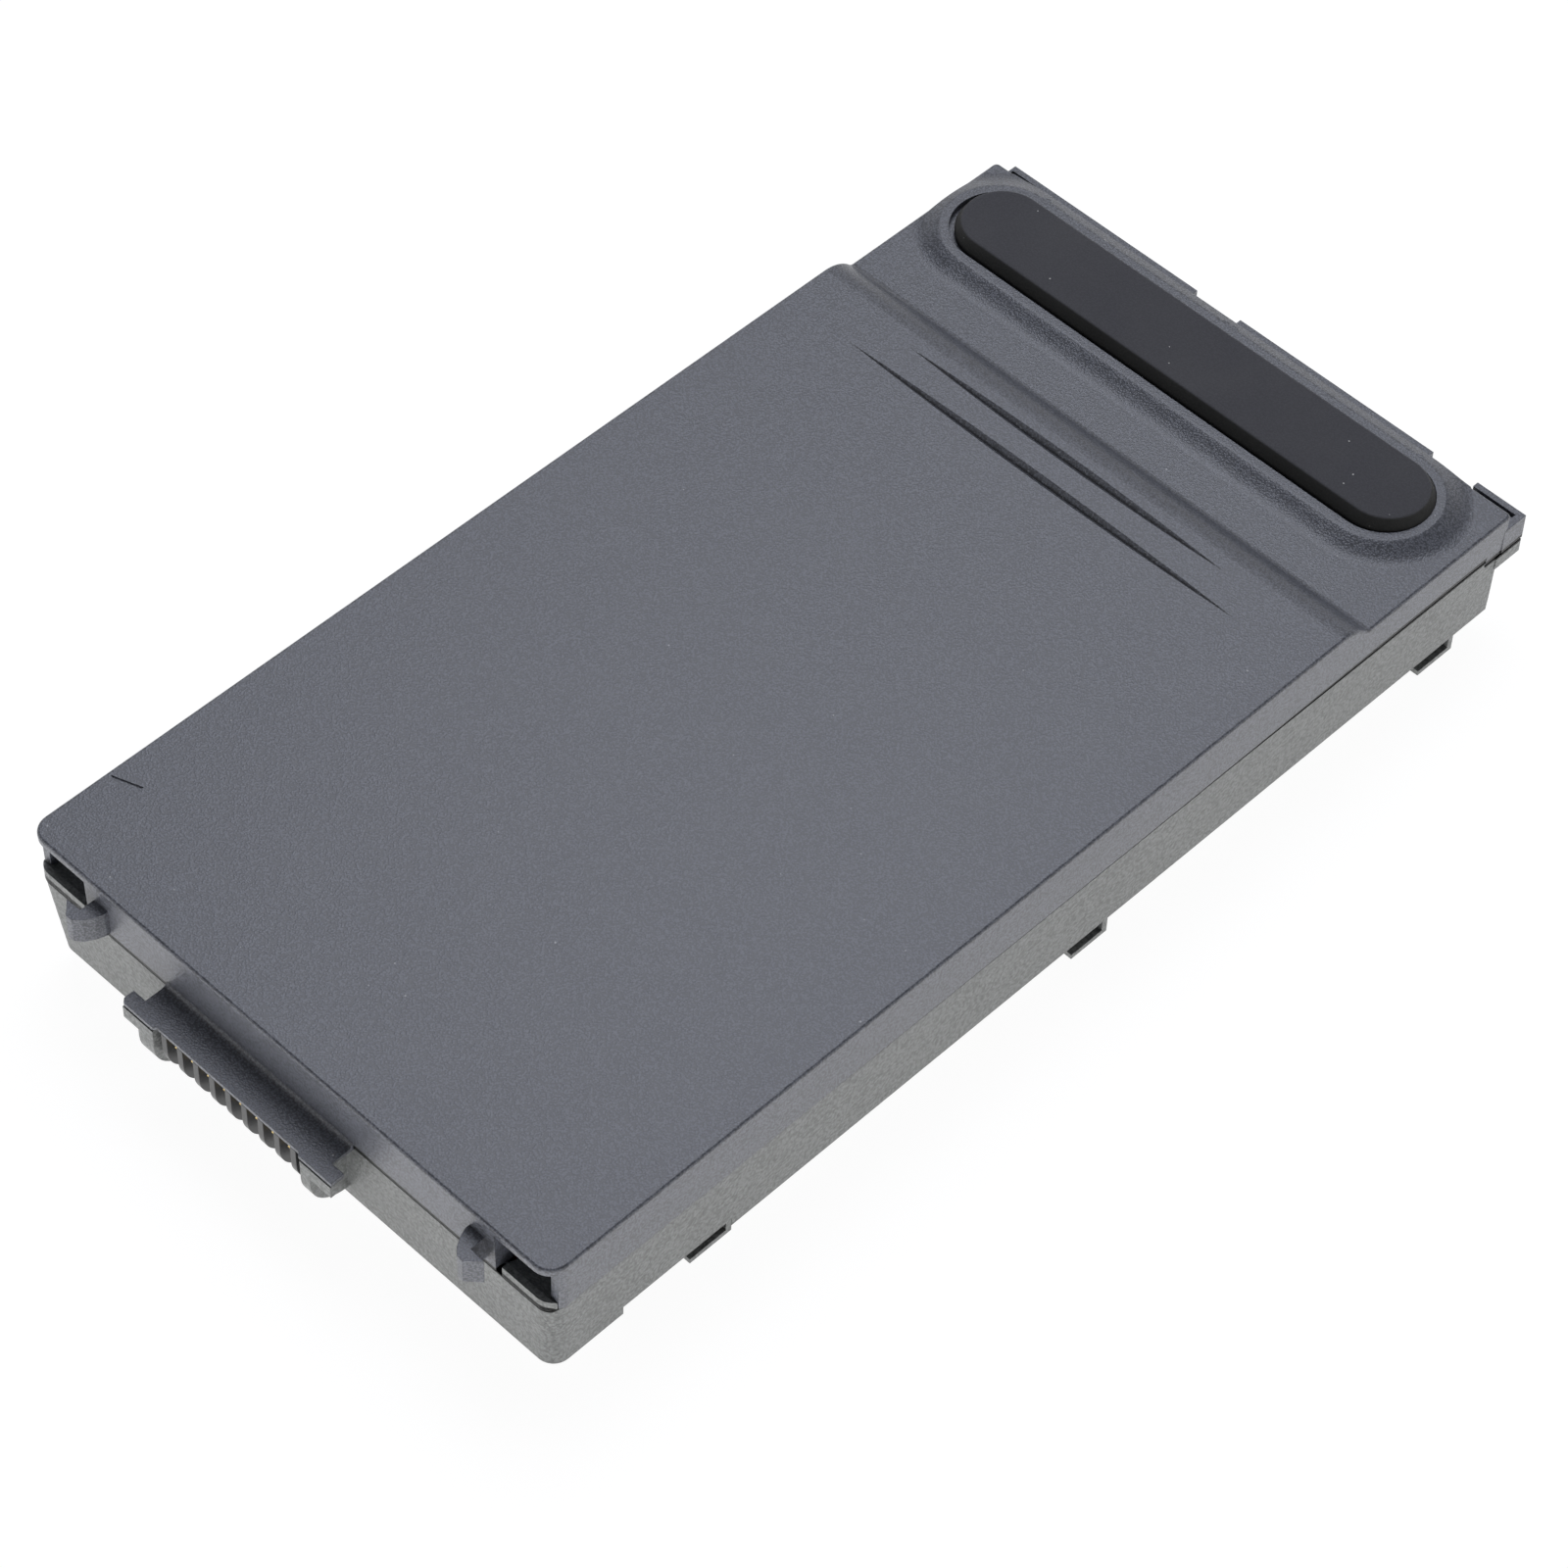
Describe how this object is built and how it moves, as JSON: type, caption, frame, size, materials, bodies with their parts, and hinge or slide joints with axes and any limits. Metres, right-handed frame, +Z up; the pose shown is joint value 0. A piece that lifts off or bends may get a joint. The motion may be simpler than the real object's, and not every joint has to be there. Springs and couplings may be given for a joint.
{
  "type": "laptop battery",
  "caption": "Flat plastic laptop battery pack with a stepped grained top, rubber foot, finger grooves, latch flange, side hooks and a finned edge connector.",
  "frame": {"origin": "middle of the footprint, at the bottom of the belly", "axes": "+X from the connector end toward the rubber foot, +Y across, +Z up out of the grained top"},
  "size_m": [0.177, 0.09, 0.0224],
  "materials": {
    "cover": "fine grain, satin",
    "case": "coarse grain, matte",
    "foot": "matte",
    "connector": "glossy",
    "contact": "plated",
    "cell": "plastic sleeve over a steel can",
    "nickel": "rolled",
    "paper": "matte",
    "adhesive": "tacky film",
    "foam": "open foam",
    "board": "solder mask",
    "chip": "matte",
    "fuse": "smooth",
    "lead": "sleeved wire"
  },
  "bodies": {
    "root": {"cell_1": "cell", "cell_2": "cell", "cell_3": "cell", "cell_4": "cell", "cell_5": "cell", "cell_6": "cell", "cell_7": "cell", "cell_8": "cell", "cell_tape_1": "adhesive", "cell_tape_2": "adhesive", "circuit_board": "board", "connector_housing": "connector", "contact_1": "contact", "contact_2": "contact", "contact_3": "contact", "contact_4": "contact", "contact_5": "contact", "contact_6": "contact", "contact_7": "contact", "contact_8": "contact", "foam_strip_1": "foam", "foam_strip_2": "foam", "foot_tape": "adhesive", "fuse": "fuse", "gauge_chip": "chip", "guard_chip": "chip", "lead_foot": "lead", "lead_mid_left": "lead", "lead_mid_right": "lead", "lower_case": "case", "paper_connector": "paper", "paper_foot": "paper", "rubber_foot": "foot", "sense_resistor": "chip", "strap_foot": "nickel", "strap_mid_left": "nickel", "strap_mid_right": "nickel", "strap_negative": "nickel", "strap_positive": "nickel", "thermistor": "lead", "top_cover": "cover", "transistor_1": "chip", "transistor_2": "chip"}
  },
  "joints": []
}
